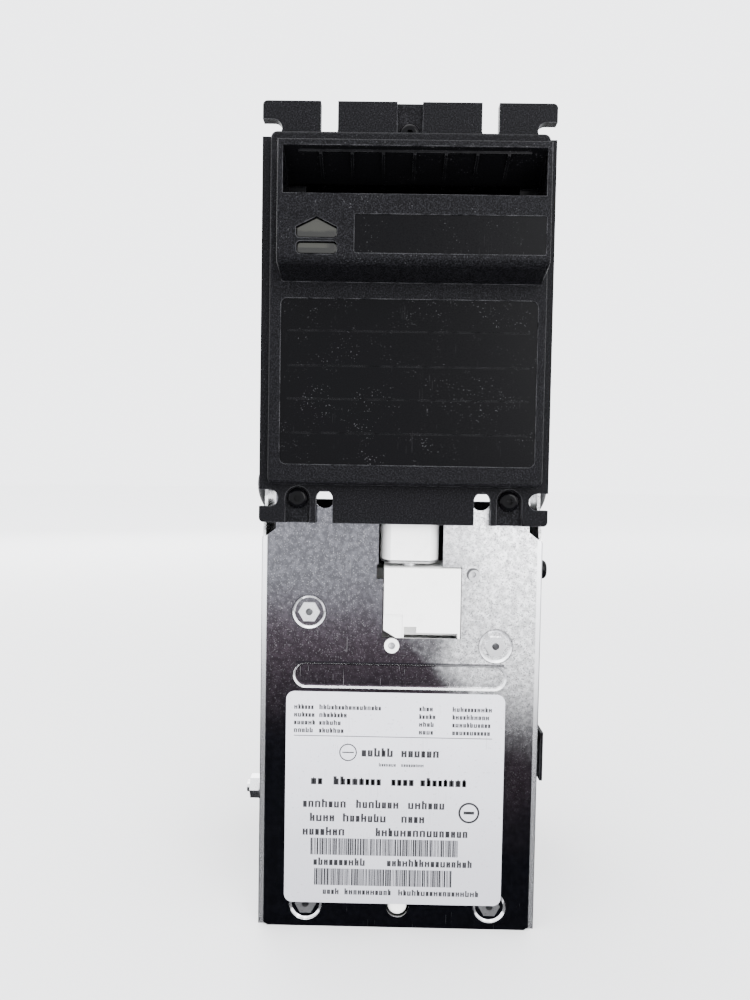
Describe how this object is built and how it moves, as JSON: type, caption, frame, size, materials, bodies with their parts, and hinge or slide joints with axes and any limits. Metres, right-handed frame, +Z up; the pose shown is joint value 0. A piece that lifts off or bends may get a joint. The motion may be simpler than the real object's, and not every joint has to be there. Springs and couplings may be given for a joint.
{
  "type": "bill validator",
  "caption": "Upright bill validator with a black snouted bezel, a zinc-plated steel frame, a hinged transport head, a rack-driven note pusher and a slide-off note cassette.",
  "frame": {"origin": "centre of the four door studs, on the bezel flange's front face", "axes": "+X to the right seen from the front, +Y to the back, +Z up"},
  "size_m": [0.1032, 0.1153, 0.2743],
  "materials": {
    "black_plastic": "fine spark-eroded texture",
    "smoke_window": "smoky clear",
    "circuit_board": "solder mask",
    "black_screw": "black oxide",
    "zinc_steel": "bright zinc plate",
    "label_film": "white polyester film",
    "white_plastic": "moulded acetal",
    "motor_steel": "drawn steel can",
    "shaft_steel": "ground",
    "belt_rubber": "moulded",
    "spring_steel": "drawn wire"
  },
  "bodies": {
    "chassis": {"bezel": "black_plastic", "light_pipe": "smoke_window", "led_board": "circuit_board", "bezel_screws": "black_screw", "chassis": "zinc_steel", "clinch_standoffs": "zinc_steel", "label": "label_film", "locating_peg": "white_plastic", "ground_stud": "zinc_steel", "ground_washer": "zinc_steel", "ground_nut": "zinc_steel", "side_screw": "black_screw", "side_caps": "white_plastic", "gearbox_housing": "white_plastic", "gearbox_cover": "white_plastic", "gearbox_fixings": "zinc_steel", "stacker_motor": "motor_steel", "sync_belt": "belt_rubber", "shaft_bushings": "white_plastic", "bill_guide_frame": "white_plastic", "guide_screws": "zinc_steel", "latch_pin": "shaft_steel", "latch_spring": "spring_steel", "head_inner_guide": "black_plastic", "head_frame_screws": "zinc_steel", "transport_motor": "motor_steel", "drive_belts": "belt_rubber", "mouth_upper_guide": "black_plastic", "head_hinge_pin": "shaft_steel"},
    "stacker_rotor": {"stacker_worm": "shaft_steel"},
    "upper_pinion_shaft": {"upper_pinion_shaft": "shaft_steel", "upper_pinions": "white_plastic", "upper_sync_pulley": "white_plastic", "worm_wheel": "white_plastic"},
    "lower_pinion_shaft": {"lower_pinion_shaft": "shaft_steel", "lower_pinions": "white_plastic", "lower_sync_pulley": "white_plastic"},
    "pusher": {"pusher_plate": "white_plastic", "pusher_racks": "white_plastic"},
    "cassette": {"cassette_body": "black_plastic", "cassette_hinge_pin": "shaft_steel", "spring_bar": "zinc_steel", "pressure_springs": "spring_steel"},
    "cassette_door": {"cassette_door": "black_plastic"},
    "door_knob": {"door_knob": "black_plastic"},
    "pressure_plate": {"pressure_plate": "white_plastic"},
    "cassette_latch": {"cassette_latch": "black_plastic"},
    "transport_rotor": {"transport_pinion": "shaft_steel"},
    "lower_drive_shaft": {"lower_drive_shaft": "shaft_steel", "lower_drive_pulleys": "white_plastic", "drive_gear": "white_plastic"},
    "upper_drive_shaft": {"upper_drive_shaft": "shaft_steel", "upper_drive_pulleys": "white_plastic"},
    "outer_guide": {"head_outer_guide": "black_plastic", "control_board": "circuit_board", "rear_cover": "black_plastic", "interface_socket": "black_plastic"},
    "upper_idler": {"upper_idler": "belt_rubber"},
    "lower_idler": {"lower_idler": "belt_rubber"},
    "head_latch": {"head_latch": "black_plastic"}
  },
  "joints": [
    {"name": "pusher_slide", "type": "slide", "parent": "chassis", "child": "pusher", "axis": [0, 1, 0], "range_m": [0, 0.012]},
    {"name": "upper_pinion_spin", "type": "hinge", "parent": "chassis", "child": "upper_pinion_shaft", "pos_m": [0, 0.0185, -0.091], "axis": [1, 0, 0], "range_deg": [-2, 174]},
    {"name": "lower_pinion_spin", "type": "hinge", "parent": "chassis", "child": "lower_pinion_shaft", "pos_m": [0, 0.0185, -0.178], "axis": [1, 0, 0], "range_deg": [-2, 174]},
    {"name": "stacker_rotor_spin", "type": "hinge", "parent": "chassis", "child": "stacker_rotor", "pos_m": [0.0028, 0.01155, -0.09], "axis": [0, 0, 1], "range_deg": [-10, 3450]},
    {"name": "cassette_slide", "type": "slide", "parent": "chassis", "child": "cassette", "axis": [0, 1, 0], "range_m": [0, 0.06]},
    {"name": "cassette_door_swing", "type": "hinge", "parent": "cassette", "child": "cassette_door", "pos_m": [-0.0436, 0.0939, -0.135], "axis": [0, 0, 1], "range_deg": [0, 110]},
    {"name": "door_knob_turn", "type": "hinge", "parent": "cassette_door", "child": "door_knob", "pos_m": [0.037, 0.094, -0.135], "axis": [0, 1, 0], "range_deg": [0, 90]},
    {"name": "pressure_plate_slide", "type": "slide", "parent": "cassette", "child": "pressure_plate", "axis": [0, 1, 0], "range_m": [-0.0001, 0.0074], "deforming": ["pressure_springs"]},
    {"name": "cassette_latch_rock", "type": "hinge", "parent": "chassis", "child": "cassette_latch", "pos_m": [0.0489, 0.03, -0.149], "axis": [0, 0, -1], "range_deg": [0, 6], "stiffness_Nm_per_rad": 0.05, "deforming": ["latch_spring"]},
    {"name": "drive_shaft_spin", "type": "hinge", "parent": "chassis", "child": "lower_drive_shaft", "pos_m": [0, 0.0235, -0.036], "axis": [1, 0, 0], "continuous": true},
    {"name": "transport_rotor_spin", "type": "hinge", "parent": "chassis", "child": "transport_rotor", "pos_m": [0, 0.02, -0.01794], "axis": [1, 0, 0], "continuous": true},
    {"name": "upper_drive_spin", "type": "hinge", "parent": "chassis", "child": "upper_drive_shaft", "pos_m": [0, 0.0205, 0.0275], "axis": [1, 0, 0], "continuous": true},
    {"name": "outer_guide_swing", "type": "hinge", "parent": "chassis", "child": "outer_guide", "pos_m": [0, 0.05, -0.0575], "axis": [-1, 0, 0], "range_deg": [0, 50]},
    {"name": "upper_idler_spin", "type": "hinge", "parent": "outer_guide", "child": "upper_idler", "pos_m": [0, 0.02988, 0.03868], "axis": [1, 0, 0], "continuous": true},
    {"name": "lower_idler_spin", "type": "hinge", "parent": "outer_guide", "child": "lower_idler", "pos_m": [0, 0.0351, -0.036], "axis": [1, 0, 0], "continuous": true},
    {"name": "head_latch_lift", "type": "hinge", "parent": "outer_guide", "child": "head_latch", "pos_m": [0, 0.026, 0.057], "axis": [-1, 0, 0], "range_deg": [0, 12], "stiffness_Nm_per_rad": 0.05}
  ],
  "couplings": [
    {"joint": "upper_pinion_spin", "follows": "pusher_slide", "rad_per_m": 250},
    {"joint": "lower_pinion_spin", "follows": "pusher_slide", "rad_per_m": 250},
    {"joint": "stacker_rotor_spin", "follows": "pusher_slide", "rad_per_m": 5000},
    {"joint": "pressure_plate_slide", "follows": "pusher_slide", "ratio": 0.6},
    {"joint": "transport_rotor_spin", "follows": "drive_shaft_spin", "ratio": -3.6},
    {"joint": "upper_drive_spin", "follows": "drive_shaft_spin", "ratio": 0.69388}
  ]
}
